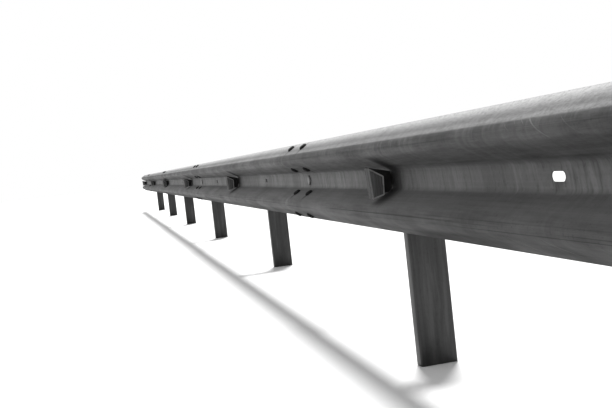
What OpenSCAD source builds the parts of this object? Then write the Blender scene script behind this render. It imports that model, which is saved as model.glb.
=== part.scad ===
// Highway guardrail section: six bays of two-wave steel beam on channel posts.
// The row runs along X, its road side faces -Y, and Z is up from the ground.
// Stations s along the row are counted from the bolt line of the first post, towards -X.

/* [Row] */
// Distance from one valley slot to the next, which sets posts and splices too
slot_pitch = 1000; // [900:10:1100]
// Height of the beam's centre line above the ground
rail_z = 580; // [520:5:650]
// Distance from the valley's front face back to the front of a post
set_back = 180; // [150:1:200]
// The same distance at the second post, which has only a short packer
short_set_back = 44; // [38:1:60]

/* [Beam] */
// Height of the beam across both waves
beam_h = 310; // [306:1:330]
// Depth of the waves, over the sheet
beam_d = 81; // [77:1:88]
// Thickness of the beam sheet
beam_t = 3; // [2.5:0.1:4]
// Half width of the flat valley floor
valley_half = 22; // [18:0.5:24]
// Radius of the bends beside the valley, at mid-sheet
valley_r = 15; // [12:0.5:18]
// Radius of the two crests, at mid-sheet
crest_r = 30; // [26:0.5:34]
// Lean of the flanks from the upright
flank_angle = 60; // [56:0.5:62]
// Lean of the two lips from the upright
lip_angle = 56; // [52:0.5:60]

/* [Splice] */
// Length of each beam that laps past the splice centre
lap_half = 160; // [150:1:190]
// Distance between the two columns of splice bolts
splice_columns = 220; // [190:1:240]
// Diameter of the splice holes
splice_hole = 20; // [18:0.5:24]
// Width of a valley slot
slot_w = 20; // [18:0.5:24]
// Length of a valley slot, end to end
slot_l = 52; // [44:1:70]
// Clearance between lapped sheets and between a beam and its spacer
lap_gap = 0.2; // [0.1:0.05:0.4]

/* [Posts] */
// Depth of the channel post, across the row
post_d = 120; // [110:1:140]
// Width of the post's flanges, along the row
post_w = 40; // [38:0.5:50]
// Thickness of the post's steel
post_t = 5; // [4:0.25:6]
// Inner radius of the post's bends
post_r = 5; // [3:0.5:7]
// Height of the post above the beam's centre line
post_rise = 95; // [85:1:120]

/* [Spacers] */
// Thickness of the spacer's steel
spacer_t = 4; // [3:0.25:5]
// Height of the spacer
spacer_h = 180; // [160:1:190]
// Width of the spacer's front leg, against the beam
spacer_front = 75; // [70:1:90]
// Radius of the spacer's bends, at mid-sheet
spacer_r = 6; // [4:0.5:8]
// Distance between the two bolts that hold a spacer to its post
spacer_bolts = 110; // [90:1:120]
// Diameter of the bolt holes in posts, spacers and reflector feet
bolt_hole = 18; // [17:0.5:20]

/* [Reflectors] */
// Distance from the bolt to the back of the housing's upright plate
reflector_reach = 39; // [36:0.5:46]
// Thickness of the housing's upright plate
housing_t = 6; // [4:0.5:8]
// Reach of the plate out from the valley floor
housing_out = 78; // [72:0.5:80]
// Height of the plate's outer corner above the beam's centre line
housing_top = 43; // [39:0.5:46]
// Height of the plate's upper corner at the valley floor
housing_heel = 24; // [19:0.5:26]
// Depth of the plate's lower edge below the beam's centre line
housing_toe = 37; // [33:0.5:38]
// Height of the housing's foot on the valley floor
foot_h = 36; // [28:1:40]
// Length of the foot, from the plate's back
foot_l = 66; // [62:1:80]
// Thickness of the foot and its ribs
foot_t = 3; // [2:0.25:3.5]
// Length of the ribs along the foot
rib_l = 20; // [14:0.5:22]
// Depth of the light reflector box in front of the plate
box_depth = 25; // [18:0.5:30]
// Wall of the box
box_wall = 2.5; // [2:0.1:3]
// Radius of the box's upright edges
box_r = 3; // [2:0.25:4]
// Distance of the box's inner side from the valley floor
box_in = 31; // [28:0.5:36]
// Height of the box's upper inner corner above the beam's centre line
box_heel = 13; // [8:0.5:16]
// Depth of its lower inner corner below the centre line
box_toe = 43; // [38:0.5:44]
// Depth of its lower outer corner below the centre line
box_low = 53; // [48:0.5:56]
// How far the outer side leans in towards the bottom
box_lean = 6; // [0:0.5:10]
// Width of the box's rim round the lens
frame_rim = 4.5; // [3.5:0.25:6]
// Depth of the pocket for the lens
pocket = 3; // [2.5:0.25:5]
// Thickness of the lens on the pocket's floor
lens_t = 2; // [1.5:0.25:2.25]
// Clearance round the lens
lens_gap = 0.2; // [0.1:0.05:0.4]

/* [Hidden] */
$fn = 48;

bays = 6;
middle_post = bays / 2;
short_post = 1;
eps = 0.01;
bend_step = 9;

// Posts stand at every third slot, and splices come at every fourth
bay_slots = 3;
beam_slots = 4;
bay = bay_slots * slot_pitch;
beam_pitch = beam_slots * slot_pitch;

// Place of the bolt line in the post's front flange, from the post's web
bolt_back = (post_w - post_t) / 2;
// X of the first bolt line, with the middle post's web on the origin
near_x = middle_post * bay - bolt_back;
valley_y = -post_d / 2 - set_back;

// The last beam is a short one that ends at the last post
full_beams = floor(bays * bay_slots / beam_slots);
short_slots = bays * bay_slots - full_beams * beam_slots;

// Flank and lip lengths that give the beam its height and depth
wave_rise = beam_d - beam_t;
bend_radii = valley_r + crest_r;
flank_l = (wave_rise - bend_radii * (1 - cos(flank_angle))) / sin(flank_angle);
crest_z = valley_half + bend_radii * sin(flank_angle) + flank_l * cos(flank_angle);
lip_l = (beam_h / 2 - beam_t / 2 * sin(lip_angle) - crest_z - crest_r * sin(lip_angle)) / cos(lip_angle);
lip_u = beam_d - beam_t / 2 - crest_r * (1 - cos(lip_angle)) - lip_l * sin(lip_angle);
lip_z = beam_h / 2 - beam_t / 2 * sin(lip_angle);

// Middle of a flank and of a lip, where the splice bolts sit
flank_mid = [
  beam_t / 2 - beam_t + valley_r * (1 - cos(flank_angle)) + flank_l / 2 * sin(flank_angle),
  valley_half + valley_r * sin(flank_angle) + flank_l / 2 * cos(flank_angle)
];
lip_mid = [lip_u - beam_t + lip_l / 2 * sin(lip_angle), lip_z - lip_l / 2 * cos(lip_angle)];

// Step back of a beam that starts behind the one before it
lap_step = beam_t / cos(max(flank_angle, lip_angle)) + lap_gap;

// Stations of the plate's and the box's near faces, ahead of the bolt
housing_w = housing_t + reflector_reach;
box_w = housing_w + box_depth;

function dir(a) = [cos(a), sin(a)];

// Points and headings round one bend, from point p on heading h
function bend(p, h, turn, r) =
  let (
    side = turn > 0 ? 90 : -90,
    c = p + r * dir(h + side),
    n = ceil(abs(turn) / bend_step)
  )
  [for (i = [0 : n]) let (a = h + turn * i / n) [c - r * dir(a + side), a]];

// Mid-sheet path through a list of [straight length, turn after it, bend radius]
function fold(p, h, legs, i = 0) =
  i == len(legs) ? [] :
  let (
    q = p + legs[i][0] * dir(h),
    b = legs[i][1] == 0 ? [[q, h]] : bend(q, h, legs[i][1], legs[i][2]),
    last = b[len(b) - 1]
  )
  concat(i == 0 ? [[p, h]] : [], b, fold(last[0], last[1], legs, i + 1));

// Outline of a sheet of thickness t that follows such a path
function sheet(path, t) = concat(
  [for (s = path) s[0] + t / 2 * dir(s[1] + 90)],
  [for (i = [len(path) - 1 : -1 : 0]) path[i][0] - t / 2 * dir(path[i][1] + 90)]
);

// How far the beam at station s lies behind the front of the row
function beam_of(s) = min(floor((s - eps) / beam_pitch), full_beams);
function slots_of(j) = j < full_beams ? beam_slots : short_slots;
function pitch_of(j) = slots_of(j) * slot_pitch;
function beam_back(s, j) = lap_step * (1 - (s - j * beam_pitch) / pitch_of(j));
function front_u(s) = s < eps ? -lap_step : -beam_back(s, beam_of(s));
function rear_u(s) = (at_splice(s) ? -lap_step : front_u(s)) - beam_t;
function at_splice(s) = s < eps || abs(s - round(s / beam_pitch) * beam_pitch) < lap_half;

// How far a post stands in front of the common line of posts
function post_shift(k) = k == short_post ? set_back - short_set_back : 0;

// Puts u to the road side, v up and w along the row from station s
module on_rail(s) {
  translate([near_x - s, valley_y, rail_z]) rotate([90, 0, -90]) children();
}

// The two-wave section, from the top lip to the bottom lip
module wave_section() {
  turn = flank_angle + lip_angle;
  polygon(sheet(fold([lip_u - beam_t, lip_z], lip_angle - 90, [
    [lip_l, -turn, crest_r],
    [flank_l, flank_angle, valley_r],
    [2 * valley_half, flank_angle, valley_r],
    [flank_l, -turn, crest_r],
    [lip_l, 0, 0]
  ]), beam_t));
}

// One hole square to the sheet at point p, whose sheet leans by the given angle
module sheet_hole(p, lean, w) {
  translate([p[0], p[1], w]) rotate([0, 0, lean]) rotate([0, 90, 0])
    cylinder(d = splice_hole, h = 6 * beam_t, center = true);
}

// The eight splice holes round one splice centre
module splice_holes(w) {
  for (side = [0, 1], column = [-0.5, 0.5]) mirror([0, side, 0]) {
    sheet_hole(flank_mid, -flank_angle, w + column * splice_columns);
    sheet_hole(lip_mid, lip_angle, w + column * splice_columns);
  }
}

module valley_slot(w) {
  run = (slot_l - slot_w) / 2;
  translate([-beam_t / 2, 0, w]) rotate([0, 90, 0]) {
    for (end = [-run, run]) translate([end, 0, 0])
      cylinder(d = slot_w, h = 6 * beam_t, center = true);
    cube([2 * run, slot_w, 6 * beam_t], center = true);
  }
}

// A beam starts behind the beam before it and ends in front of the next one
module beam(j) {
  long = pitch_of(j);
  color([0.62, 0.62, 0.62])
  on_rail(j * beam_pitch) translate([-lap_step, 0, 0]) rotate([0, atan(lap_step / long), 0])
  difference() {
    translate([0, 0, -lap_half]) linear_extrude(long + 2 * lap_half) wave_section();
    splice_holes(0);
    splice_holes(long);
    for (i = [0 : slots_of(j)]) valley_slot(i * slot_pitch);
  }
}

// Cold-formed channel post, web towards the near end, flanges away from it
module post(k) {
  leg = post_w - post_t - post_r;
  color([0.45, 0.45, 0.45])
  translate([(middle_post - k) * bay, -post_shift(k), 0])
  difference() {
    linear_extrude(rail_z + post_rise)
      polygon(sheet(fold([post_t / 2 - post_w, (post_t - post_d) / 2], 0, [
        [leg, 90, post_r + post_t / 2],
        [post_d - 2 * (post_t + post_r), 90, post_r + post_t / 2],
        [leg, 0, 0]
      ]), post_t));
    for (side = [-0.5, 0.5])
      translate([-bolt_back, -post_d / 2, rail_z + side * spacer_bolts]) rotate([90, 0, 0])
        cylinder(d = bolt_hole, h = 4 * post_t, center = true);
  }
}

// Folded spacer: front leg on the beam, web beside the post's web, back leg on the post
module spacer(k) {
  s = k * bay;
  front = valley_y - rear_u(s) + lap_gap;
  back = -post_d / 2 - post_shift(k);
  depth = back - front - lap_gap;
  web_x = post_t / 2 - spacer_t / 2;
  r = spacer_r;
  back_leg = post_w - spacer_t / 2 - r;
  color([0.5, 0.5, 0.5])
  translate([(middle_post - k) * bay, front, rail_z - spacer_h / 2])
  difference() {
    linear_extrude(spacer_h)
      polygon(sheet(fold([web_x + spacer_t / 2 - spacer_front, spacer_t / 2], 0, [
        [spacer_front - spacer_t / 2 - r, 90, r],
        [depth - spacer_t - 2 * r, 90, r],
        [back_leg, 0, 0]
      ]), spacer_t));
    translate([-bolt_back, 0, spacer_h / 2]) rotate([90, 0, 0])
      cylinder(d = bolt_hole, h = 4 * spacer_t, center = true);
    for (side = [-0.5, 0.5])
      translate([-bolt_back, depth, spacer_h / 2 + side * spacer_bolts]) rotate([90, 0, 0])
        cylinder(d = bolt_hole, h = 4 * spacer_t, center = true);
  }
}

// Puts a reflector's own frame on the face of the beam at post k
module on_slot(k) {
  s = k * bay;
  on_rail(s) translate([front_u(s), 0, 0]) children();
}

// Front face of the beam at height v in the valley, measured out from the valley floor
function face_u(v) =
  let (a = abs(v) - valley_half, r = valley_r - beam_t / 2, knee = r * sin(flank_angle))
  a <= 0 ? 0 :
  a < knee ? r - sqrt(r * r - a * a) :
  r * (1 - cos(flank_angle)) + (a - knee) * tan(flank_angle);

// A point of the housing that sits on the beam at height v
function seat(v) = [face_u(v) + lap_gap / cos(flank_angle), v];

// Upright plate of the housing, outer edge first; its inner edge follows the beam
housing_corners = [
  [housing_out, housing_top],
  seat(housing_heel),
  seat(-valley_half),
  seat(-valley_half - valley_r / 2),
  seat(-housing_toe),
  [box_in + box_wall, -housing_toe],
  [box_in + box_wall, box_wall / 2 - box_toe],
  [housing_out - box_lean, box_wall / 2 - box_low]
];

// The box's own outline, lower at the valley than the plate behind it
box_corners = [
  [housing_out, housing_top - box_wall / 2],
  [box_in, box_heel],
  [box_in + box_wall, -box_toe],
  [housing_out - box_lean, -box_low]
];

// Moulded black housing: upright plate across the valley, foot on the valley floor, two ribs
module reflector_body(k) {
  color([0.06, 0.06, 0.06])
  on_slot(k) difference() {
    union() {
      translate([0, 0, -housing_w]) linear_extrude(housing_t) polygon(housing_corners);
      translate([lap_gap, 0, -housing_w]) rotate([0, 90, 0]) linear_extrude(foot_t) foot_outline();
      for (side = [0, 1]) mirror([0, side, 0])
        translate([lap_gap, foot_h / 2, -reflector_reach - eps]) rotate([90, 0, 0])
          linear_extrude(foot_t)
            polygon([[0, 0], [housing_out / 2, 0], [2 * foot_t, rib_l], [0, rib_l]]);
    }
    rotate([0, 90, 0]) cylinder(d = bolt_hole, h = 4 * housing_out, center = true);
  }
}

// Foot as seen from the road, rounded at its far end
module foot_outline() {
  long = housing_t + foot_l;
  translate([-long + foot_h / 2, 0]) {
    circle(d = foot_h);
    translate([0, -foot_h / 2]) square([long - foot_h / 2, foot_h]);
  }
}

module box_outline(inset) {
  offset(r = box_r - inset) offset(delta = -box_r) polygon(box_corners);
}

// Light reflector box: pocket for the lens in front, hollow behind the pocket's floor
module reflector_frame(k) {
  hollow = pocket + box_wall;
  color([0.75, 0.75, 0.75])
  on_slot(k) translate([0, 0, -box_w]) difference() {
    linear_extrude(box_depth) box_outline(0);
    translate([0, 0, -eps]) linear_extrude(pocket + eps) box_outline(frame_rim);
    translate([0, 0, hollow]) linear_extrude(box_depth) box_outline(box_wall);
  }
}

// Retroreflective lens on the floor of the pocket
module reflector_lens(k) {
  color([0.35, 0.35, 0.35])
  on_slot(k) translate([0, 0, pocket - lens_t - box_w])
    linear_extrude(lens_t) box_outline(frame_rim + lens_gap);
}

beam(0);  // beam_1
beam(1);  // beam_2
beam(2);  // beam_3
beam(3);  // beam_4
beam(4);  // beam_5
post(0);  // post_1
post(1);  // post_2
post(2);  // post_3
post(3);  // post_4
post(4);  // post_5
post(5);  // post_6
post(6);  // post_7
spacer(0);  // spacer_1
spacer(1);  // spacer_2
spacer(2);  // spacer_3
spacer(3);  // spacer_4
spacer(4);  // spacer_5
spacer(5);  // spacer_6
spacer(6);  // spacer_7
reflector_body(0);  // reflector_body_1
reflector_body(1);  // reflector_body_2
reflector_body(2);  // reflector_body_3
reflector_body(3);  // reflector_body_4
reflector_body(4);  // reflector_body_5
reflector_body(5);  // reflector_body_6
reflector_body(6);  // reflector_body_7
reflector_frame(0);  // reflector_frame_1
reflector_frame(1);  // reflector_frame_2
reflector_frame(2);  // reflector_frame_3
reflector_frame(3);  // reflector_frame_4
reflector_frame(4);  // reflector_frame_5
reflector_frame(5);  // reflector_frame_6
reflector_frame(6);  // reflector_frame_7
reflector_lens(0);  // reflector_lens_1
reflector_lens(1);  // reflector_lens_2
reflector_lens(2);  // reflector_lens_3
reflector_lens(3);  // reflector_lens_4
reflector_lens(4);  // reflector_lens_5
reflector_lens(5);  // reflector_lens_6
reflector_lens(6);  // reflector_lens_7
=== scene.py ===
import math

import bpy
from mathutils import Matrix, Vector


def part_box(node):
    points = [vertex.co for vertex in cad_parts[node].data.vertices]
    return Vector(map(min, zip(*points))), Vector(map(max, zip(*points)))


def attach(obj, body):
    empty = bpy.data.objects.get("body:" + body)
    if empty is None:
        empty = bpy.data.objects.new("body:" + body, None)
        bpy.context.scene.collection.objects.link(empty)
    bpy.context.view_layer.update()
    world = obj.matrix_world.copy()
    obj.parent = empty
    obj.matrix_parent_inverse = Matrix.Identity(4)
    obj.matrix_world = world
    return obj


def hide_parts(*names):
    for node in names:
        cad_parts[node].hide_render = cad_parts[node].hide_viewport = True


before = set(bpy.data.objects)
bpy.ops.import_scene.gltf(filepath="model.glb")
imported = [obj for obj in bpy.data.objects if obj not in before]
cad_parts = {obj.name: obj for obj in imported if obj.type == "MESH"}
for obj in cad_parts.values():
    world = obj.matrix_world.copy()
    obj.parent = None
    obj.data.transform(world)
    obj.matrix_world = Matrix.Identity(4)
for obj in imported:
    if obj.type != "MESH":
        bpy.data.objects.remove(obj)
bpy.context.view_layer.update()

# Camera
# It stands on the road side at rail height, a little past the first post, and looks
# along the row through a 50 mm lens, held slightly askew.
CAMERA_AT = Vector((8.455, -1.0645, 0.662))
CAMERA_YAW = 0.2265
CAMERA_PITCH = 0.0499
CAMERA_ROLL = 0.1111
LENS_MM = 50.64
SENSOR_MM = 36

# Which way it looks, then how its roll turns its right and its top
ahead = Vector((-math.cos(CAMERA_YAW), math.sin(CAMERA_YAW), 0))
sideways = Vector((math.sin(CAMERA_YAW), math.cos(CAMERA_YAW), 0))
look = ahead * math.cos(CAMERA_PITCH) - Vector((0, 0, math.sin(CAMERA_PITCH)))
level_top = ahead * math.sin(CAMERA_PITCH) + Vector((0, 0, math.cos(CAMERA_PITCH)))
camera_right = sideways * math.cos(CAMERA_ROLL) - level_top * math.sin(CAMERA_ROLL)
camera_top = sideways * math.sin(CAMERA_ROLL) + level_top * math.cos(CAMERA_ROLL)

bpy.ops.object.camera_add(location=CAMERA_AT)
camera = bpy.context.object
camera.matrix_world = (
    Matrix.Translation(CAMERA_AT) @ Matrix((camera_right, camera_top, -look)).transposed().to_4x4()
)
camera.data.lens = LENS_MM
camera.data.sensor_width = SENSOR_MM
camera.data.clip_start = 0.05
camera.data.clip_end = 300
bpy.context.scene.camera = camera

# Beams
# Two-wave guardrail beams, cold-rolled from 3 mm galvanised sheet. Each laps in front of the
# next one and is bolted to it through eight holes in the lips and flanks.
BEAM_T = 0.003
BEAM_D = 0.081
VALLEY_HALF = 0.022
VALLEY_R = 0.015
CREST_R = 0.030
FLANK = math.radians(60)
LIP = math.radians(56)
LAP_HALF = 0.160
LAP_GAP = 0.0002
LAP_STEP = BEAM_T / math.cos(max(FLANK, LIP)) + LAP_GAP
SPLICE_COLUMNS = 0.220
SPLICE_HOLE = 0.020
SLOT_L = 0.052
SLOT_W = 0.020
SLOT_PITCH = 1.0
HOLE_SIDES = 32
PUNCH_L = 8 * BEAM_T
BEND_STEPS = 10
# Cross cuts along a 4 m beam, so that its faces stay short
BEAM_CUTS = 86
BEAM_COUNT = 5
POST_COUNT = 7
# Edges between faces that meet at more than this are eased
SHARP = math.radians(60)
# Points closer than this count as the same
TINY = 1e-5

beam_low, beam_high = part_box("beam_1")
beam_h = beam_high.z - beam_low.z
rail_z = (beam_high.z + beam_low.z) / 2
near_x = beam_high.x - LAP_HALF
valley_y = beam_low.y + BEAM_D

rise = BEAM_D - BEAM_T
radii = VALLEY_R + CREST_R
flank_l = (rise - radii * (1 - math.cos(FLANK))) / math.sin(FLANK)
crest_z = VALLEY_HALF + radii * math.sin(FLANK) + flank_l * math.cos(FLANK)
lip_end_z = beam_h / 2 - BEAM_T / 2 * math.sin(LIP)
lip_l = (lip_end_z - crest_z - CREST_R * math.sin(LIP)) / math.cos(LIP)

# Sharp fold lines of the sheet's middle: out from the valley's sheet, and up from its centre
knee_z = VALLEY_HALF + VALLEY_R * math.tan(FLANK / 2)
flank_run = flank_l + VALLEY_R * math.tan(FLANK / 2) + CREST_R * math.tan((FLANK + LIP) / 2)
crest_corner = (flank_run * math.sin(FLANK), knee_z + flank_run * math.cos(FLANK))
lip_run = lip_l + CREST_R * math.tan((FLANK + LIP) / 2)
lip_end = (
    crest_corner[0] - lip_run * math.sin(LIP),
    crest_corner[1] + lip_run * math.cos(LIP),
)


def deselect():
    if bpy.context.object and bpy.context.object.mode != "OBJECT":
        bpy.ops.object.mode_set(mode="OBJECT")
    bpy.ops.object.select_all(action="DESELECT")


def only(piece):
    deselect()
    piece.select_set(True)
    bpy.context.view_layer.objects.active = piece


def place(piece, matrix):
    """Puts the piece where matrix says and bakes that into its mesh."""
    only(piece)
    piece.matrix_world = matrix
    bpy.ops.object.transform_apply(location=True, rotation=True, scale=True)


def apply_modifier(piece, kind, **settings):
    """Adds a modifier of this kind with these settings and applies it."""
    only(piece)
    modifier = piece.modifiers.new(kind.title(), kind)
    for key, value in settings.items():
        setattr(modifier, key, value)
    bpy.ops.object.modifier_apply(modifier=modifier.name)


def edit_pick(piece, mode, wanted):
    """Opens the piece in edit mode with only the elements selected that wanted() accepts."""
    only(piece)
    bpy.ops.object.mode_set(mode="EDIT")
    bpy.ops.mesh.select_all(action="DESELECT")
    bpy.ops.mesh.select_mode(type=mode)
    bpy.ops.object.mode_set(mode="OBJECT")
    mesh = piece.data
    group = {"VERT": mesh.vertices, "EDGE": mesh.edges, "FACE": mesh.polygons}[mode]
    for element in group:
        if mode == "VERT":
            points = [element.co]
        else:
            points = [mesh.vertices[i].co for i in element.vertices]
        element.select = wanted(points)
    bpy.ops.object.mode_set(mode="EDIT")


def join(pieces, name):
    """Makes one piece of several."""
    deselect()
    for piece in pieces:
        piece.select_set(True)
    bpy.context.view_layer.objects.active = pieces[0]
    bpy.ops.object.join()
    pieces[0].name = name
    return pieces[0]


def copy_of(piece, name):
    """A copy with a mesh of its own."""
    twin = piece.copy()
    twin.data = piece.data.copy()
    twin.name = name
    bpy.context.scene.collection.objects.link(twin)
    return twin


def folded_sheet(name, corners, bend_radii, thickness, length, cuts):
    """A strip of sheet from x = 0 to x = -length, folded along X at its corners, given as (y, z)."""
    first, second = Vector(corners[0]), Vector(corners[1])
    leg = second - first
    middle = (first + second) / 2
    deselect()
    bpy.ops.mesh.primitive_plane_add(
        size=1,
        location=(-length / 2, middle.x, middle.y),
        rotation=(math.atan2(leg.y, leg.x), 0, 0),
    )
    piece = bpy.context.object
    piece.name = name
    piece.scale = (length, leg.length, 1)
    bpy.ops.object.transform_apply(location=True, rotation=True, scale=True)

    def on_fold(corner):
        return lambda points: all(
            math.hypot(p.y - corner[0], p.z - corner[1]) < TINY for p in points
        )

    for here, there in zip(corners[1:], corners[2:]):
        edit_pick(piece, "EDGE", on_fold(here))
        bpy.ops.mesh.extrude_region_move(
            TRANSFORM_OT_translate={"value": (0, there[0] - here[0], there[1] - here[1])}
        )
    for i, radius in enumerate(bend_radii):
        before = Vector(corners[i + 1]) - Vector(corners[i])
        after = Vector(corners[i + 2]) - Vector(corners[i + 1])
        edit_pick(piece, "EDGE", on_fold(corners[i + 1]))
        bpy.ops.mesh.bevel(
            offset=radius * math.tan(before.angle(after) / 2),
            offset_type="OFFSET",
            segments=BEND_STEPS,
            profile=0.5,
            clamp_overlap=False,
        )
    if cuts:
        edit_pick(piece, "EDGE", lambda points: abs(points[0].x - points[1].x) > length / 2)
        bpy.ops.mesh.subdivide(number_cuts=cuts)
    bpy.ops.object.mode_set(mode="OBJECT")
    apply_modifier(piece, "SOLIDIFY", thickness=thickness, offset=0, use_even_offset=True)
    return piece


def hole_tool(x, out, up, lean):
    """A cylinder through the sheet at (out, up), square to a face that leans by the given angle."""
    bpy.ops.mesh.primitive_cylinder_add(
        vertices=HOLE_SIDES,
        radius=SPLICE_HOLE / 2,
        depth=PUNCH_L,
        location=(x, -out, up),
        rotation=(math.pi / 2 + lean, 0, 0),
    )
    return bpy.context.object


def slot_tool(x):
    """A round-ended bar through the valley floor."""
    deselect()
    bpy.ops.mesh.primitive_cylinder_add(
        vertices=HOLE_SIDES,
        radius=SLOT_W / 2,
        depth=PUNCH_L,
        location=(x, 0, 0),
        rotation=(math.pi / 2, 0, 0),
    )
    tool = bpy.context.object
    bpy.ops.object.transform_apply(location=True, rotation=True, scale=True)
    for side in (-1, 1):
        edit_pick(tool, "VERT", lambda points: side * (points[0].x - x) > TINY)
        bpy.ops.transform.translate(value=(side * (SLOT_L - SLOT_W) / 2, 0, 0))
    bpy.ops.object.mode_set(mode="OBJECT")
    return tool


# Middle of a flank and of a lip, out from the valley's sheet and up from its centre
flank_mid = (
    VALLEY_R * (1 - math.cos(FLANK)) + flank_l / 2 * math.sin(FLANK),
    VALLEY_HALF + VALLEY_R * math.sin(FLANK) + flank_l / 2 * math.cos(FLANK),
)
lip_mid = (
    lip_end[0] + lip_l / 2 * math.sin(LIP),
    lip_end[1] - lip_l / 2 * math.cos(LIP),
)
# Each splice hole in one column: out, up, and the lean of its face
SPLICE_ROWS = [
    (lip_mid[0], lip_mid[1], -LIP),
    (flank_mid[0], flank_mid[1], FLANK),
    (flank_mid[0], -flank_mid[1], -FLANK),
    (lip_mid[0], -lip_mid[1], LIP),
]


def beam_place(start_s, pitch):
    """Where a beam's own frame lies: its valley sheet at the splice centre it starts from."""
    turn = Matrix.Rotation(math.atan(LAP_STEP / pitch), 4, "Z")
    start = Vector((near_x - start_s, valley_y + LAP_STEP + BEAM_T / 2, rail_z))
    return Matrix.Translation(start) @ turn


def make_beam(node, start_s, pitch):
    """Rolls the sheet to its wave, punches it and lays it at its splice centres."""
    wave = [lip_end, crest_corner, (0, knee_z), (0, -knee_z)]
    wave += [(crest_corner[0], -crest_corner[1]), (lip_end[0], -lip_end[1])]
    corners = [(-out, up) for out, up in wave]
    length = pitch + 2 * LAP_HALF
    cuts = round(BEAM_CUTS * length / (beam_high.x - beam_low.x))
    bend_radii = [CREST_R, VALLEY_R, VALLEY_R, CREST_R]
    piece = folded_sheet(node + "_rolled", corners, bend_radii, BEAM_T, length, cuts)
    place(piece, Matrix.Translation((LAP_HALF, 0, 0)))
    tools = []
    for splice in (0, -pitch):
        for side in (-0.5, 0.5):
            for out, up, lean in SPLICE_ROWS:
                tools.append(hole_tool(splice + side * SPLICE_COLUMNS, out, up, lean))
    slots = [i * SLOT_PITCH for i in range(round(pitch / SLOT_PITCH) + 1)]
    tools += [slot_tool(-s) for s in slots]
    punch = join(tools, "punch")
    apply_modifier(piece, "BOOLEAN", operation="DIFFERENCE", solver="EXACT", object=punch)
    bpy.data.objects.remove(punch)
    apply_modifier(
        piece, "BEVEL", width=0.0005, segments=2, limit_method="ANGLE", angle_limit=SHARP
    )
    place(piece, beam_place(start_s, pitch))
    bpy.ops.object.shade_smooth_by_angle(angle=math.radians(25))
    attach(piece, "root")
    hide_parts(node)
    return piece


beams = []
start_s = 0
for number in range(1, BEAM_COUNT + 1):
    low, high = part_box("beam_%d" % number)
    pitch = round(high.x - low.x - 2 * LAP_HALF, 1)
    beams.append(make_beam("beam_%d" % number, start_s, pitch))
    start_s += pitch


def new_material(name, roughness, metallic):
    """A material with its nodes at hand: returns it, its node tree and its shader."""
    material = bpy.data.materials.new(name)
    material.use_nodes = True
    shader = material.node_tree.nodes["Principled BSDF"]
    shader.inputs["Roughness"].default_value = roughness
    shader.inputs["Metallic"].default_value = metallic
    return material, material.node_tree, shader


def feed(tree, source, socket):
    """Joins a node's output to a socket, or writes a plain number there."""
    if isinstance(source, (int, float)):
        socket.default_value = source
    else:
        tree.links.new(source, socket)


def sums(tree, operation, a, b=0.0, c=0.0):
    """One step of arithmetic on node outputs or plain numbers."""
    node = tree.nodes.new("ShaderNodeMath")
    node.operation = operation
    for source, socket in zip((a, b, c), node.inputs):
        feed(tree, source, socket)
    return node.outputs["Value"]


def fade(tree, source, start, end, low=0.0, high=1.0):
    """Goes smoothly from low to high while source goes from start to end."""
    node = tree.nodes.new("ShaderNodeMapRange")
    node.interpolation_type = "SMOOTHSTEP"
    feed(tree, source, node.inputs["Value"])
    for name, number in (("From Min", start), ("From Max", end), ("To Min", low), ("To Max", high)):
        node.inputs[name].default_value = number
    return node.outputs["Result"]


def position(tree):
    """The point's x, y and z on the object."""
    place_node = tree.nodes.new("ShaderNodeTexCoord")
    split = tree.nodes.new("ShaderNodeSeparateXYZ")
    tree.links.new(place_node.outputs["Object"], split.inputs["Vector"])
    return split.outputs["X"], split.outputs["Y"], split.outputs["Z"]


def noise(tree, scale, stretch=(1, 1, 1), detail=4, roughness=0.55, lean=0.0):
    """Noise with scale waves a metre, stretched along the axes and leaning in the XZ plane."""
    place_node = tree.nodes.new("ShaderNodeTexCoord")
    mapping = tree.nodes.new("ShaderNodeMapping")
    mapping.inputs["Scale"].default_value = stretch
    texture = tree.nodes.new("ShaderNodeTexNoise")
    texture.inputs["Scale"].default_value = scale
    texture.inputs["Detail"].default_value = detail
    texture.inputs["Roughness"].default_value = roughness
    if lean:
        turn = tree.nodes.new("ShaderNodeVectorRotate")
        turn.rotation_type = "Y_AXIS"
        turn.inputs["Angle"].default_value = lean
        tree.links.new(place_node.outputs["Object"], turn.inputs["Vector"])
        tree.links.new(turn.outputs["Vector"], mapping.inputs["Vector"])
    else:
        tree.links.new(place_node.outputs["Object"], mapping.inputs["Vector"])
    tree.links.new(mapping.outputs["Vector"], texture.inputs["Vector"])
    return texture.outputs["Fac"]


def ramp(tree, source, stops):
    """Grey levels by position: stops is a list of (position, grey)."""
    node = tree.nodes.new("ShaderNodeValToRGB")
    band = node.color_ramp
    while len(band.elements) < len(stops):
        band.elements.new(0.5)
    for element, (spot, grey) in zip(band.elements, stops):
        element.position = spot
        element.color = (grey, grey, grey, 1)
    tree.links.new(source, node.inputs["Fac"])
    return node.outputs["Color"]


def mix(tree, blend, factor, a, b):
    """Blends b, a colour or a grey level, into colour a."""
    node = tree.nodes.new("ShaderNodeMix")
    node.data_type = "RGBA"
    node.blend_type = blend
    feed(tree, factor, node.inputs["Factor"])
    tree.links.new(a, node.inputs["A"])
    if isinstance(b, (int, float)):
        node.inputs["B"].default_value = (b, b, b, 1)
    else:
        tree.links.new(b, node.inputs["B"])
    return node.outputs["Result"]


def bump(tree, shader, height, strength, distance):
    """Raises the surface by a height pattern."""
    node = tree.nodes.new("ShaderNodeBump")
    node.inputs["Strength"].default_value = strength
    node.inputs["Distance"].default_value = distance
    tree.links.new(height, node.inputs["Height"])
    tree.links.new(node.outputs["Normal"], shader.inputs["Normal"])


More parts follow.
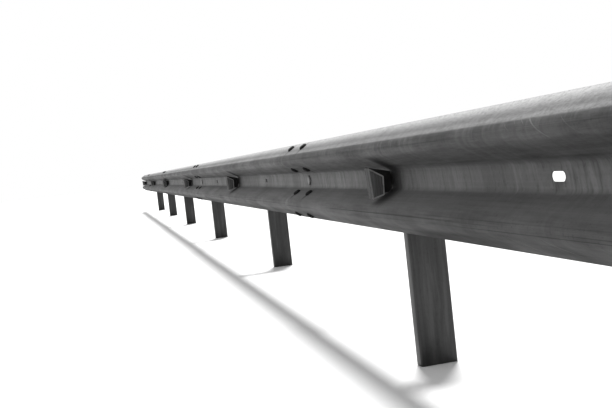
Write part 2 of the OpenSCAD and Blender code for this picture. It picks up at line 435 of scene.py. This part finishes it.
def zinc_coat(tree, grey):
    """Weathered zinc without its marks: cloudy greys, a faint spangle and dark specks."""
    cloud = ramp(tree, noise(tree, 2.2, detail=6), [(0.30, grey * 0.82), (0.70, grey * 1.14)])
    crystals = tree.nodes.new("ShaderNodeTexVoronoi")
    crystals.inputs["Scale"].default_value = 90
    place_node = tree.nodes.new("ShaderNodeTexCoord")
    tree.links.new(place_node.outputs["Object"], crystals.inputs["Vector"])
    spangle = ramp(tree, crystals.outputs["Color"], [(0.0, 0.90), (1.0, 1.0)])
    specks = ramp(tree, noise(tree, 160, detail=2), [(0.30, 0.62), (0.40, 1.0)])
    coat = mix(tree, "MULTIPLY", 0.8, cloud, spangle)
    return mix(tree, "MULTIPLY", 0.5, coat, specks)


# Weathered zinc on the beams: rain has drawn run marks down the sheet, traffic has left film on
# the waves, dark streaks run along the crests, and rust has bled from the holes and bolts. Painted
# highlights lie on the top lip, and painted shade on the waves, the lower lip, the top of the valley
# floor and around each reflector.
BEAM_GREY = 0.24
zinc_beam, tree, shader = new_material("zinc_beam", 0.55, 0.1)
x, _, z = position(tree)
height = sums(tree, "SUBTRACT", z, rail_z)
spread = sums(tree, "ABSOLUTE", height)

coat = zinc_coat(tree, BEAM_GREY)
rolled = ramp(tree, noise(tree, 1.0, (1.2, 130, 130), 3), [(0.32, 0.84), (0.60, 1.0)])
coat = mix(tree, "MULTIPLY", 0.7, coat, rolled)

# Dark film on both waves, partly road film and partly painted shade of the waves; it is left off
# the valley floor and the top lip, and its edge high on the upper crest is painted shade where the
# lit lip ends
wave_film_and_shade = fade(tree, spread, 0.030, 0.040)
top_lip = fade(tree, height, crest_z + 0.018, crest_z + 0.023)
wave_film_and_shade = sums(tree, "SUBTRACT", wave_film_and_shade, top_lip)
# The flank under the valley is sheltered by the upper wave and holds half as much
sheltered = sums(
    tree,
    "MULTIPLY",
    fade(tree, height, -crest_z + 0.012, -crest_z + 0.036),
    fade(tree, height, 0, -VALLEY_HALF, 0, 0.55),
)
wave_film_and_shade = sums(tree, "MULTIPLY", wave_film_and_shade, sums(tree, "SUBTRACT", 1.0, sheltered))
coat = mix(tree, "MULTIPLY", sums(tree, "MULTIPLY", wave_film_and_shade, 0.85), coat, 0.60)
smears = ramp(tree, noise(tree, 1.0, (3.5, 40, 40), 6, 0.65), [(0.38, 0.62), (0.58, 1.0)])
coat = mix(tree, "MULTIPLY", sums(tree, "MULTIPLY", wave_film_and_shade, 0.9), coat, smears)
# Finer streaks on the upper wave
streaks = ramp(tree, noise(tree, 1.0, (16, 95, 95), 5, 0.65), [(0.36, 0.74), (0.54, 1.0)])
upper_film = fade(tree, height, 0.022, 0.040, 0, 0.9)
coat = mix(tree, "MULTIPLY", upper_film, coat, streaks)
# Painted shade darkens the lower lip, which looks down at the ground, and a painted highlight
# makes the top lip pale
low_lip = fade(tree, height, -crest_z - 0.005, -crest_z - 0.045)
coat = mix(tree, "MULTIPLY", low_lip, coat, 0.50)
painted_lip_light = fade(tree, height, crest_z + 0.016, beam_h / 2)
coat = mix(tree, "MIX", sums(tree, "MULTIPLY", painted_lip_light, 0.75), coat, BEAM_GREY * 2.1)
# Painted shade at the top of the valley floor, under the upper wave
valley_top_shade = fade(tree, height, 0.004, 0.030, 0, 0.3)
valley_top_shade = sums(tree, "MULTIPLY", valley_top_shade, fade(tree, height, 0.036, 0.030))
coat = mix(tree, "MULTIPLY", valley_top_shade, coat, 0.0)
# Across the top lip: darker bands just above the crest and across the middle, with painted
# highlights between them along the bend and at the top edge
up_lip = sums(tree, "DIVIDE", sums(tree, "SUBTRACT", height, crest_z), beam_h / 2 - crest_z)
lip_highlight_bands = ramp(
    tree,
    up_lip,
    [(0.06, 1.0), (0.20, 0.52), (0.31, 0.55), (0.36, 1.0), (0.43, 0.92), (0.56, 0.52)]
    + [(0.68, 0.60), (0.82, 0.85), (0.92, 1.0)],
)
coat = mix(tree, "MULTIPLY", 1.0, coat, lip_highlight_bands)
# Fine grains of dirt lie on it
grains = ramp(tree, noise(tree, 150, (0.7, 1, 1), 3, 0.7), [(0.36, 0.66), (0.56, 1.0)])
coat = mix(tree, "MULTIPLY", sums(tree, "MULTIPLY", top_lip, 0.9), coat, grains)

# Run marks down the sheet, in patches, clearest on the valley floor
patchy = fade(tree, noise(tree, 3.0, detail=2), 0.40, 0.58, 0.50, 1.0)
runs = ramp(tree, noise(tree, 1.0, (62, 9, 9), 5, 0.62, 0.22), [(0.34, 0.44), (0.50, 1.0)])
pale_runs = ramp(tree, noise(tree, 1.0, (48, 7, 7), 4, 0.6, 0.30), [(0.50, 0.0), (0.66, 1.0)])
in_valley = fade(tree, spread, 0.036, 0.026)
off_valley = fade(tree, height, -0.02, -0.05, 0.30, 0.12)
run_share = sums(tree, "MAXIMUM", sums(tree, "MULTIPLY", in_valley, 0.9), off_valley)
run_share = sums(tree, "MULTIPLY", patchy, run_share)
coat = mix(tree, "MULTIPLY", run_share, coat, runs)
pale_share = sums(tree, "MULTIPLY", run_share, sums(tree, "MULTIPLY", pale_runs, 0.4))
coat = mix(tree, "MIX", pale_share, coat, BEAM_GREY * 1.5)

# Dark streaks along the two crests, heavier on the lower one
CREST_BAND = 0.016
off_crest = sums(tree, "ABSOLUTE", sums(tree, "SUBTRACT", spread, crest_z))
on_crest = fade(tree, off_crest, CREST_BAND, CREST_BAND / 3)
crest_streaks = ramp(tree, noise(tree, 1.0, (0.5, 210, 210), 3, 0.5), [(0.40, 0.42), (0.47, 1.0)])
low_side = fade(tree, height, 0.02, -0.02, 0.35, 0.95)
coat = mix(tree, "MULTIPLY", sums(tree, "MULTIPLY", on_crest, low_side), coat, crest_streaks)

# Thin bright scratches that run askew, only in patches
patches = fade(tree, noise(tree, 1.7, detail=1), 0.54, 0.66)
scratches = fade(tree, noise(tree, 1.0, (4, 4, 230), 1, 0.4, -0.5), 0.71, 0.74)
scratched = sums(tree, "MULTIPLY", sums(tree, "MULTIPLY", patches, scratches), wave_film_and_shade)
coat = mix(tree, "MIX", sums(tree, "MULTIPLY", scratched, 0.32), coat, BEAM_GREY * 1.5)

# Rust that bled from the splice holes and the slots, by the distance to the nearest one
SPLICE_PITCH = 4 * SLOT_PITCH
along = sums(tree, "SUBTRACT", x, near_x)
from_splice = sums(tree, "ABSOLUTE", sums(tree, "WRAP", along, SPLICE_PITCH / 2, -SPLICE_PITCH / 2))
from_column = sums(tree, "ABSOLUTE", sums(tree, "SUBTRACT", from_splice, SPLICE_COLUMNS / 2))
from_flank = sums(tree, "ABSOLUTE", sums(tree, "SUBTRACT", spread, flank_mid[1]))
from_lip = sums(tree, "ABSOLUTE", sums(tree, "SUBTRACT", spread, lip_mid[1]))
from_row = sums(tree, "MINIMUM", from_flank, from_lip)
from_hole = sums(
    tree,
    "SQRT",
    sums(tree, "ADD", sums(tree, "POWER", from_column, 2), sums(tree, "POWER", from_row, 2)),
)
ragged = noise(tree, 70, (1, 1, 0.3), 4)
at_hole = fade(tree, sums(tree, "MULTIPLY_ADD", ragged, 0.030, from_hole), 0.040, 0.024)
# A thin dark tail runs down the sheet from every bolt of the splice, longest on the top lip: partly
# a rust run and partly painted shadow of the bolt head
tails_rust_and_shadow = 0
tail_rows = [(lip_mid[1], 0.038), (flank_mid[1], 0.024)]
tail_rows += [(-flank_mid[1], 0.024), (-lip_mid[1], 0.024)]
for row, reach in tail_rows:
    below = sums(tree, "SUBTRACT", row, height)
    start, end = fade(tree, below, 0.002, 0.008), fade(tree, below, reach, reach / 2)
    tail = sums(tree, "MULTIPLY", start, end)
    tails_rust_and_shadow = sums(tree, "MAXIMUM", tail, tails_rust_and_shadow)
thin = fade(tree, sums(tree, "MULTIPLY_ADD", ragged, 0.008, from_column), 0.012, 0.006)
tails_rust_and_shadow = sums(tree, "MULTIPLY", tails_rust_and_shadow, thin)
from_slot = sums(tree, "ABSOLUTE", sums(tree, "WRAP", along, SLOT_PITCH / 2, -SLOT_PITCH / 2))
under_slot = sums(
    tree,
    "MULTIPLY",
    fade(tree, sums(tree, "MULTIPLY_ADD", ragged, 0.020, from_slot), 0.036, 0.020),
    fade(tree, sums(tree, "ABSOLUTE", sums(tree, "ADD", height, 0.014)), 0.022, 0.006),
)
coat = mix(tree, "MULTIPLY", tails_rust_and_shadow, coat, 0.12)
stain = sums(tree, "MAXIMUM", at_hole, under_slot)
coat = mix(tree, "MULTIPLY", sums(tree, "MULTIPLY", stain, 0.5), coat, 0.35)

# Painted shade and a painted dark reflection of each reflector's housing on the sheet, by the
# distance past its plate. It reaches further on the near side of the plate than behind it.
POST_PITCH = 3 * SLOT_PITCH
REFLECTOR_X = 0.055
past_reflector = sums(
    tree, "WRAP", sums(tree, "SUBTRACT", along, REFLECTOR_X), POST_PITCH / 2, -POST_PITCH / 2
)
from_reflector = sums(
    tree, "MAXIMUM", past_reflector, sums(tree, "MULTIPLY", past_reflector, -2.4)
)
reflector_shade_reach = fade(tree, sums(tree, "MULTIPLY_ADD", ragged, 0.05, from_reflector), 0.15, 0.04)
reflector_shade = sums(tree, "MULTIPLY", reflector_shade_reach, fade(tree, spread, 0.088, 0.048))
coat = mix(tree, "MULTIPLY", sums(tree, "MULTIPLY", reflector_shade, 0.9), coat, 0.22)
dull = sums(tree, "MAXIMUM", reflector_shade, sums(tree, "MULTIPLY", low_lip, 0.8))
tree.links.new(fade(tree, dull, 0, 1, 0.12, 0.02), shader.inputs["Specular IOR Level"])
tree.links.new(coat, shader.inputs["Base Color"])
tree.links.new(fade(tree, noise(tree, 5, detail=5), 0.3, 0.7, 0.50, 0.68), shader.inputs["Roughness"])
bump(tree, shader, noise(tree, 90, (1, 1, 0.6), 6), 0.12, 0.001)

for piece in beams:
    piece.data.materials.clear()
    piece.data.materials.append(zinc_beam)

# Posts
# Channel posts, cold-formed from 5 mm galvanised strip, driven into the ground with their
# webs towards the near end of the row.
POST_T = 0.005
POST_R = 0.0075
# The posts' grey is darker than the beams' partly as painted shade, for posts that stand in the beam's
# shade
POST_GREY = 0.065

zinc_post, tree, shader = new_material("zinc_post", 0.5, 0.35)
shader.inputs["Specular IOR Level"].default_value = 0.25
z = position(tree)[2]
coat = zinc_coat(tree, POST_GREY)
runs = ramp(tree, noise(tree, 1.0, (55, 55, 3), 5, 0.6), [(0.34, 0.58), (0.58, 1.0)])
coat = mix(tree, "MULTIPLY", 0.75, coat, runs)
pale_runs = fade(tree, noise(tree, 1.0, (30, 30, 2.4), 5, 0.62), 0.50, 0.66)
coat = mix(tree, "MIX", sums(tree, "MULTIPLY", pale_runs, 0.35), coat, POST_GREY * 2.0)
# Splashed soil near the ground
SPLASH = 0.16
ragged = sums(tree, "MULTIPLY_ADD", noise(tree, 24, (1, 1, 0.5), 5), SPLASH, z)
coat = mix(tree, "MULTIPLY", fade(tree, ragged, SPLASH * 1.1, SPLASH * 0.4, 0, 0.6), coat, 0.42)
tree.links.new(coat, shader.inputs["Base Color"])
bump(tree, shader, noise(tree, 110, detail=5), 0.15, 0.001)


def upright_fold(name, corners, bend_radii, thickness, height):
    """Sheet folded at plan corners (x, y) and standing on z = 0, with its cut edges eased."""
    piece = folded_sheet(name, corners, bend_radii, thickness, height, 0)
    place(piece, Matrix(((0, 1, 0, 0), (0, 0, 1, 0), (-1, 0, 0, 0), (0, 0, 0, 1))))
    apply_modifier(
        piece, "BEVEL", width=0.0006, segments=2, limit_method="ANGLE", angle_limit=SHARP
    )
    bpy.ops.object.shade_smooth_by_angle(angle=math.radians(40))
    return piece


def finish_piece(piece, node, material):
    """Puts the finish on a piece that stands for a node of the frame."""
    piece.data.materials.clear()
    piece.data.materials.append(material)
    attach(piece, "root")
    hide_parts(node)


for number in range(1, POST_COUNT + 1):
    node = "post_%d" % number
    low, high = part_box(node)
    half = (high.y - low.y - POST_T) / 2
    tip = POST_T / 2 - (high.x - low.x)
    corners = [(tip, -half), (0, -half), (0, half), (tip, half)]
    post = upright_fold(node + "_formed", corners, [POST_R, POST_R], POST_T, high.z)
    place(post, Matrix.Translation((high.x - POST_T / 2, (low.y + high.y) / 2, 0)))
    finish_piece(post, node, zinc_post)

# Spacers
# Folded from 4 mm galvanised plate: the wide front leg lies behind the beam's valley, the
# web runs back beside the post's web, and the back leg is bolted to the post.
SPACER_T = 0.004
SPACER_R = 0.006
SPACER_BACK_LEG = 0.040

zinc_spacer, tree, shader = new_material("zinc_spacer", 0.48, 0.35)
coat = zinc_coat(tree, 0.10)
runs = ramp(tree, noise(tree, 1.0, (60, 60, 4), 5, 0.6), [(0.30, 0.68), (0.55, 1.0)])
tree.links.new(mix(tree, "MULTIPLY", 0.6, coat, runs), shader.inputs["Base Color"])
bump(tree, shader, noise(tree, 110, detail=5), 0.15, 0.001)

for number in range(1, POST_COUNT + 1):
    node = "spacer_%d" % number
    low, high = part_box(node)
    web_x = high.x - SPACER_T / 2
    front = low.y + SPACER_T / 2
    back = high.y - SPACER_T / 2
    corners = [(low.x, front), (web_x, front), (web_x, back)]
    corners.append((high.x - SPACER_BACK_LEG, back))
    spacer = upright_fold(node + "_folded", corners, [SPACER_R] * 2, SPACER_T, high.z - low.z)
    place(spacer, Matrix.Translation((0, 0, low.z)))
    finish_piece(spacer, node, zinc_spacer)

# Bolts
# M16 steel bolts with washers and nuts behind the sheet. Those at the splices have low round
# heads and have rusted dark; those in the valley have wide round heads, still zinc grey.
HEX_R = 0.0139
NUT_H = 0.013
HEX_HEAD_H = 0.010
WASHER_R = 0.0165
WASHER_T = 0.003
SHANK_R = 0.008
THREAD_PITCH = 0.002
THREAD_CORE = 0.88
THREAD_ENDS = 0.012
# Share of a round head's height that its dome takes
DOME = 0.85

rusted, tree, shader = new_material("rusted_bolt", 0.8, 0)
shader.inputs["Specular IOR Level"].default_value = 0.12
tree.links.new(
    ramp(tree, noise(tree, 180), [(0.3, 0.008), (0.7, 0.036)]), shader.inputs["Base Color"]
)
bump(tree, shader, noise(tree, 400), 0.4, 0.001)

zinc_bolt, tree, shader = new_material("zinc_bolt", 0.45, 0.4)
coat = zinc_coat(tree, 0.14)
rust = fade(tree, noise(tree, 60, detail=5), 0.50, 0.66, 0, 0.55)
tree.links.new(mix(tree, "MIX", rust, coat, 0.035), shader.inputs["Base Color"])
bump(tree, shader, noise(tree, 300), 0.25, 0.001)


def turned(name, sides, radius, bottom, top):
    """An upright cylinder from height bottom to height top."""
    deselect()
    bpy.ops.mesh.primitive_cylinder_add(
        vertices=sides, radius=radius, depth=top - bottom, location=(0, 0, (bottom + top) / 2)
    )
    piece = bpy.context.object
    piece.name = name
    bpy.ops.object.transform_apply(location=True, rotation=True, scale=True)
    return piece


def round_head(radius, height):
    """A low domed head on z = 0."""
    head = turned("head", 32, radius, 0, height)
    edit_pick(head, "EDGE", lambda points: all(p.z > height - TINY for p in points))
    bpy.ops.mesh.bevel(offset=height * DOME, segments=6, profile=0.5, clamp_overlap=False)
    bpy.ops.object.mode_set(mode="OBJECT")
    return head


def hex_block(bottom, top):
    """A nut or a hexagon head with eased edges."""
    block = turned("hexagon", 6, HEX_R, bottom, top)
    edit_pick(block, "EDGE", lambda points: abs(points[0].z - points[1].z) < TINY)
    bpy.ops.mesh.bevel(offset=0.0012, segments=2)
    bpy.ops.object.mode_set(mode="OBJECT")
    return block


def threaded_shank(grip):
    """A plain shank through the grip, with thread ridges on the end that shows."""
    end = -grip - WASHER_T - NUT_H - THREAD_ENDS
    shank = turned("shank", 16, SHANK_R, end, 0)
    edit_pick(shank, "EDGE", lambda points: abs(points[0].z - points[1].z) > TINY)
    rings = round(-end / THREAD_PITCH * 2) - 1
    bpy.ops.mesh.subdivide(number_cuts=rings)
    step = -end / (rings + 1)
    groove_top = -grip - WASHER_T - NUT_H

    def in_groove(points):
        ring = round((points[0].z - end) / step)
        return points[0].z < groove_top and ring % 2 == 0

    edit_pick(shank, "VERT", in_groove)
    bpy.ops.transform.resize(value=(THREAD_CORE, THREAD_CORE, 1))
    bpy.ops.object.mode_set(mode="OBJECT")
    return shank


def make_bolt(head, grip, material):
    """A bolt along +Z: its head stands on z = 0 and its nut hangs below z = -grip."""
    washer = turned("washer", 28, WASHER_R, -grip - WASHER_T, -grip)
    nut = hex_block(-grip - WASHER_T - NUT_H, -grip - WASHER_T)
    bolt = join([head, washer, nut, threaded_shank(grip)], "bolt")
    bpy.ops.object.shade_smooth_by_angle(angle=math.radians(30))
    bolt.data.materials.clear()
    bolt.data.materials.append(material)
    return bolt


def set_bolts(bolt, places, name):
    """Copies a bolt to each place, as one piece."""
    copies = []
    for matrix in places:
        twin = copy_of(bolt, "bolt_copy")
        place(twin, matrix)
        copies.append(twin)
    group = join(copies, name)
    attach(group, "root")


def facing_road(x, y, z, lean=0.0):
    """A bolt's place whose head looks to the road side, tipped to a leaning face."""
    return Matrix.Translation((x, y, z)) @ Matrix.Rotation(math.pi / 2 + lean, 4, "X")


HEAD_R = 0.0165
SPLICE_HEAD_H = 0.009
VALLEY_HEAD_H = 0.008
WIDE_HEAD_R = 0.020
WIDE_HEAD_H = 0.0065
LAP_GRIP = 2 * (BEAM_T + LAP_GAP)
splice_bolt = make_bolt(round_head(HEAD_R, SPLICE_HEAD_H), LAP_GRIP, rusted)
wide_bolt = make_bolt(round_head(WIDE_HEAD_R, WIDE_HEAD_H), LAP_GRIP, zinc_bolt)

splice_s = 0
for number in range(1, BEAM_COUNT):
    low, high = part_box("beam_%d" % number)
    splice_s += round(high.x - low.x - 2 * LAP_HALF, 1)
    places = []
    for side in (-0.5, 0.5):
        for out, up, lean in SPLICE_ROWS:
            x = near_x - splice_s - side * SPLICE_COLUMNS
            seat = facing_road(x, valley_y + BEAM_T / 2 - out, rail_z + up, lean)
            places.append(seat @ Matrix.Translation((0, 0, BEAM_T / 2)))
    set_bolts(splice_bolt, places, "splice_bolts_%d" % number)
    # Where a splice meets a post, the reflector's bolt fills the slot instead
    if splice_s % POST_PITCH:
        centre = [facing_road(near_x - splice_s, valley_y, rail_z)]
        set_bolts(wide_bolt, centre, "centre_bolt_%d" % number)

# The bolts that hold each reflector, beam and spacer together, and each spacer to its post
FOOT_T = 0.003
SPACER_BOLTS = 0.110
BOLT_BACK = 0.0175
for number in range(1, POST_COUNT + 1):
    foot_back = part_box("reflector_body_%d" % number)[1].y
    leg_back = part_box("spacer_%d" % number)[0].y + SPACER_T
    bolt_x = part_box("post_%d" % number)[1].x - POST_T / 2 - BOLT_BACK
    head_y = foot_back - FOOT_T
    valley_bolt = make_bolt(round_head(HEAD_R, VALLEY_HEAD_H), leg_back - head_y, zinc_bolt)
    seat = [facing_road(bolt_x, head_y, rail_z)]
    set_bolts(valley_bolt, seat, "valley_bolt_%d" % number)
    bpy.data.objects.remove(valley_bolt)

    post_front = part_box("spacer_%d" % number)[1].y
    hex_bolt = make_bolt(hex_block(0, HEX_HEAD_H), SPACER_T + POST_T, zinc_bolt)
    seats = [
        facing_road(bolt_x, post_front - SPACER_T, rail_z + side * SPACER_BOLTS / 2)
        for side in (-1, 1)
    ]
    set_bolts(hex_bolt, seats, "spacer_bolts_%d" % number)
    bpy.data.objects.remove(hex_bolt)
bpy.data.objects.remove(splice_bolt)
bpy.data.objects.remove(wide_bolt)

# Reflectors
# A moulded black plastic housing stands across the valley on a foot under each post's bolt.
# It carries a light plastic box whose pocket holds a grey retroreflective lens.
REACH = 0.039
PLATE_T = 0.006
PLATE_R = 0.003
FOOT_H = 0.036
FOOT_L = 0.066
FOOT_END_FLAT = 0.001
RIB_L = 0.020
RIB_TOE = 0.001
HOUSING_OUT = 0.078
HOUSING_TOP = 0.043
HOUSING_HEEL = 0.024
HOUSING_TOE = 0.037
BOX_DEPTH = 0.025
BOX_WALL = 0.0025
BOX_R = 0.003
BOX_IN = 0.031
BOX_HEEL = 0.013
BOX_TOE = 0.043
BOX_LOW = 0.053
BOX_LEAN = 0.006
RIM = 0.0045
POCKET = 0.003
LENS_T = 0.002
GAP = 0.0002

black_plastic, tree, shader = new_material("black_plastic", 0.5, 0)
dust = ramp(tree, noise(tree, 34, (1, 1, 0.5), 6), [(0.40, 0.009), (0.72, 0.034)])
tree.links.new(dust, shader.inputs["Base Color"])
tree.links.new(fade(tree, noise(tree, 50), 0.3, 0.7, 0.42, 0.68), shader.inputs["Roughness"])
bump(tree, shader, noise(tree, 700, detail=2), 0.10, 0.0005)

# Its walls are darkened by which way they face, as painted shade, so the rim stays paler
light_plastic, tree, shader = new_material("light_plastic", 0.75, 0)
paint = ramp(tree, noise(tree, 26, (1, 1, 0.4), 6), [(0.34, 0.42), (0.68, 0.56)])
grime = fade(tree, noise(tree, 90, (1, 1, 0.3), 4), 0.50, 0.68, 0, 0.45)
paint = mix(tree, "MIX", grime, paint, 0.09)
surface = tree.nodes.new("ShaderNodeNewGeometry")
facing = tree.nodes.new("ShaderNodeSeparateXYZ")
tree.links.new(surface.outputs["True Normal"], facing.inputs["Vector"])
wall_shade = fade(tree, sums(tree, "ABSOLUTE", facing.outputs["X"]), 0.8, 0.4, 0, 0.9)
tree.links.new(mix(tree, "MULTIPLY", wall_shade, paint, 0.30), shader.inputs["Base Color"])
shader.inputs["Specular IOR Level"].default_value = 0.03
bump(tree, shader, noise(tree, 600, detail=2), 0.10, 0.0005)

grey_lens, tree, shader = new_material("grey_lens", 0.28, 0)
_, y, z = position(tree)
PRISM = 0.0032
film = ramp(tree, noise(tree, 1.0, (40, 230, 16), 5), [(0.36, 0.11), (0.64, 0.21)])
prisms = 0
for angle in (0, math.pi / 3, -math.pi / 3):
    across = sums(
        tree,
        "ADD",
        sums(tree, "MULTIPLY", y, math.cos(angle) / PRISM),
        sums(tree, "MULTIPLY", z, math.sin(angle) / PRISM),
    )
    prisms = sums(tree, "ADD", sums(tree, "PINGPONG", across, 0.5), prisms)
glints = ramp(tree, prisms, [(0.45, 0.80), (0.95, 1.0)])
tree.links.new(mix(tree, "MULTIPLY", 0.8, film, glints), shader.inputs["Base Color"])
shader.inputs["Coat Weight"].default_value = 0.4
shader.inputs["Coat Roughness"].default_value = 0.15
bump(tree, shader, prisms, 0.2, 0.0006)


def beam_face(up):
    """How far the beam's face stands out from its valley floor at height up."""
    bend_r = VALLEY_R - BEAM_T / 2
    knee = bend_r * math.sin(FLANK)
    past = abs(up) - VALLEY_HALF
    if past <= 0:
        return 0
    if past < knee:
        return bend_r - math.sqrt(bend_r**2 - past**2)
    return bend_r * (1 - math.cos(FLANK)) + (past - knee) * math.tan(FLANK)


def on_face(up):
    return (beam_face(up) + GAP / math.cos(FLANK), up)


def flat_outline(name, points):
    """A flat face in the XY plane with these corners, pulled to shape from a disc."""
    deselect()
    bpy.ops.mesh.primitive_circle_add(vertices=len(points), radius=1, fill_type="NGON")
    piece = bpy.context.object
    piece.name = name
    for start, point in zip([v.co.copy() for v in piece.data.vertices], points):
        edit_pick(piece, "VERT", lambda at: (at[0] - start).length < TINY)
        bpy.ops.transform.translate(value=Vector((point[0], point[1], 0)) - start)
    bpy.ops.object.mode_set(mode="OBJECT")
    return piece


def thicken(piece, depth):
    """Pulls a flat piece along Z into a solid."""
    edit_pick(piece, "FACE", lambda points: True)
    bpy.ops.mesh.extrude_region_move(TRANSFORM_OT_translate={"value": (0, 0, depth)})
    bpy.ops.mesh.select_all(action="SELECT")
    bpy.ops.mesh.normals_make_consistent(inside=False)
    bpy.ops.object.mode_set(mode="OBJECT")


def round_uprights(piece, radius, wanted, segments=5):
    """Rounds the edges along Z that wanted() accepts."""
    edit_pick(
        piece,
        "EDGE",
        lambda points: (points[0] - points[1]).xy.length < TINY and wanted(points[0]),
    )
    bpy.ops.mesh.bevel(offset=radius, segments=segments, profile=0.5, clamp_overlap=False)
    bpy.ops.object.mode_set(mode="OBJECT")


def ease_edges(piece, width):
    apply_modifier(
        piece, "BEVEL", width=width, segments=3, limit_method="ANGLE", angle_limit=math.radians(40)
    )


# Everything below is built with x out from the valley floor, y up and z along the row
plate = flat_outline(
    "plate",
    [
        (HOUSING_OUT, HOUSING_TOP),
        on_face(HOUSING_HEEL),
        on_face(-VALLEY_HALF),
        on_face(-VALLEY_HALF - VALLEY_R / 2),
        on_face(-HOUSING_TOE),
        (BOX_IN + BOX_WALL, -HOUSING_TOE),
        (BOX_IN + BOX_WALL, BOX_WALL / 2 - BOX_TOE),
        (HOUSING_OUT - BOX_LEAN, BOX_WALL / 2 - BOX_LOW),
    ],
)
thicken(plate, PLATE_T)
round_uprights(plate, PLATE_R, lambda p: p.x > HOUSING_OUT - TINY)
ease_edges(plate, 0.0009)
place(plate, Matrix.Translation((0, 0, -REACH - PLATE_T)))

foot_end = FOOT_L - REACH
foot = flat_outline(
    "foot",
    [(-REACH - PLATE_T / 2, -FOOT_H / 2), (foot_end, -FOOT_H / 2)]
    + [(foot_end, FOOT_H / 2), (-REACH - PLATE_T / 2, FOOT_H / 2)],
)
thicken(foot, -FOOT_T)
round_uprights(foot, (FOOT_H - FOOT_END_FLAT) / 2, lambda p: p.x > 0, 12)
ease_edges(foot, 0.0007)
place(foot, Matrix.Translation((GAP, 0, 0)) @ Matrix.Rotation(-math.pi / 2, 4, "Y"))

housing = plate
for side in (-1, 1):
    rib = flat_outline(
        "rib",
        [(GAP, -REACH - PLATE_T / 2), (HOUSING_OUT / 2, -REACH - PLATE_T / 2)]
        + [(HOUSING_OUT / 2, RIB_TOE - REACH), (GAP + 2 * FOOT_T, RIB_L - REACH)]
        + [(GAP, RIB_L - REACH)],
    )
    thicken(rib, FOOT_T)
    ease_edges(rib, 0.0006)
    rib_y = FOOT_H / 2 if side > 0 else FOOT_T - FOOT_H / 2
    place(rib, Matrix.Translation((0, rib_y, 0)) @ Matrix.Rotation(math.pi / 2, 4, "X"))
    apply_modifier(housing, "BOOLEAN", operation="UNION", solver="EXACT", object=rib)
    bpy.data.objects.remove(rib)
apply_modifier(housing, "BOOLEAN", operation="UNION", solver="EXACT", object=foot)
bpy.data.objects.remove(foot)

BOX_CORNERS = [
    (HOUSING_OUT, HOUSING_TOP - BOX_WALL / 2),
    (BOX_IN, BOX_HEEL),
    (BOX_IN + BOX_WALL, -BOX_TOE),
    (HOUSING_OUT - BOX_LEAN, -BOX_LOW),
]
box = flat_outline("box", BOX_CORNERS)
thicken(box, BOX_DEPTH)
edit_pick(box, "FACE", lambda points: all(p.z < TINY for p in points))
bpy.ops.mesh.inset(thickness=RIM)
bpy.ops.mesh.extrude_region_move(TRANSFORM_OT_translate={"value": (0, 0, POCKET)})
round_uprights(box, BOX_R, lambda p: min((p.xy - Vector(c)).length for c in BOX_CORNERS) < TINY)
ease_edges(box, 0.0005)
place(box, Matrix.Translation((0, 0, -REACH - PLATE_T - BOX_DEPTH)))

lens = flat_outline("lens", BOX_CORNERS)
edit_pick(lens, "FACE", lambda points: True)
bpy.ops.mesh.inset(thickness=RIM + GAP)
bpy.ops.mesh.select_all(action="INVERT")
bpy.ops.mesh.delete(type="FACE")
thicken(lens, LENS_T)
ease_edges(lens, 0.0004)
place(lens, Matrix.Translation((0, 0, POCKET - LENS_T - REACH - PLATE_T - BOX_DEPTH)))

REFLECTOR_AXES = Matrix(((0, 0, -1, 0), (-1, 0, 0, 0), (0, 1, 0, 0), (0, 0, 0, 1)))
for number in range(1, POST_COUNT + 1):
    low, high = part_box("reflector_body_%d" % number)
    spot = Vector((high.x - REACH - PLATE_T, high.y + GAP, rail_z))
    for part, shape, material, slot in (
        ("body", housing, black_plastic, "housing_black"),
        ("frame", box, light_plastic, "frame_light"),
        ("lens", lens, grey_lens, "lens_grey"),
    ):
        node = "reflector_%s_%d" % (part, number)
        piece = copy_of(shape, node + "_moulded")
        place(piece, Matrix.Translation(spot) @ REFLECTOR_AXES)
        bpy.ops.object.shade_smooth_by_angle(angle=math.radians(35))
        finish_piece(piece, node, material)
for shape in (housing, box, lens):
    bpy.data.objects.remove(shape)

# Floor, light and backdrop
# A plain pale floor, a sun-like lamp from ahead and behind the beam, and a soft white world.
FLOOR_HALF = 60
deselect()
bpy.ops.mesh.primitive_plane_add(size=2 * FLOOR_HALF, location=(0, 0, 0))
floor = bpy.context.object
floor.name = "floor"
FLOOR_SEEN = 0.80
FLOOR_BOUNCE = 0.16


def seen_directly(tree):
    """One where the camera, a reflection or a clear piece shows this, and nought for bounced light."""
    path = tree.nodes.new("ShaderNodeLightPath")
    seen = sums(tree, "ADD", path.outputs["Is Camera Ray"], path.outputs["Is Glossy Ray"])
    return sums(tree, "MINIMUM", sums(tree, "ADD", seen, path.outputs["Is Transmission Ray"]), 1.0)


floor_paint, tree, shader = new_material("floor_paint", 0.9, 0)
tree.links.new(
    ramp(tree, seen_directly(tree), [(0.0, FLOOR_BOUNCE), (1.0, FLOOR_SEEN)]),
    shader.inputs["Base Color"],
)
floor.data.materials.append(floor_paint)

SUN_FROM = Vector((-0.35, 0.14, 0.93))
bpy.ops.object.light_add(type="SUN", location=(0, 0, 5))
sun = bpy.context.object
sun.rotation_euler = SUN_FROM.to_track_quat("Z", "Y").to_euler()
sun.data.energy = 4.5
sun.data.angle = math.radians(11)

world = bpy.data.worlds.new("studio")
bpy.context.scene.world = world
world.use_nodes = True
tree = world.node_tree
soft = tree.nodes["Background"]
soft.inputs["Color"].default_value = (1, 1, 1, 1)
soft.inputs["Strength"].default_value = 0.5
white = tree.nodes.new("ShaderNodeBackground")
white.inputs["Color"].default_value = (1, 1, 1, 1)
white.inputs["Strength"].default_value = 1.0
choose = tree.nodes.new("ShaderNodeMixShader")
tree.links.new(seen_directly(tree), choose.inputs["Fac"])
tree.links.new(soft.outputs["Background"], choose.inputs[1])
tree.links.new(white.outputs["Background"], choose.inputs[2])
tree.links.new(choose.outputs["Shader"], tree.nodes["World Output"].inputs["Surface"])

bpy.context.scene.view_settings.view_transform = "Standard"
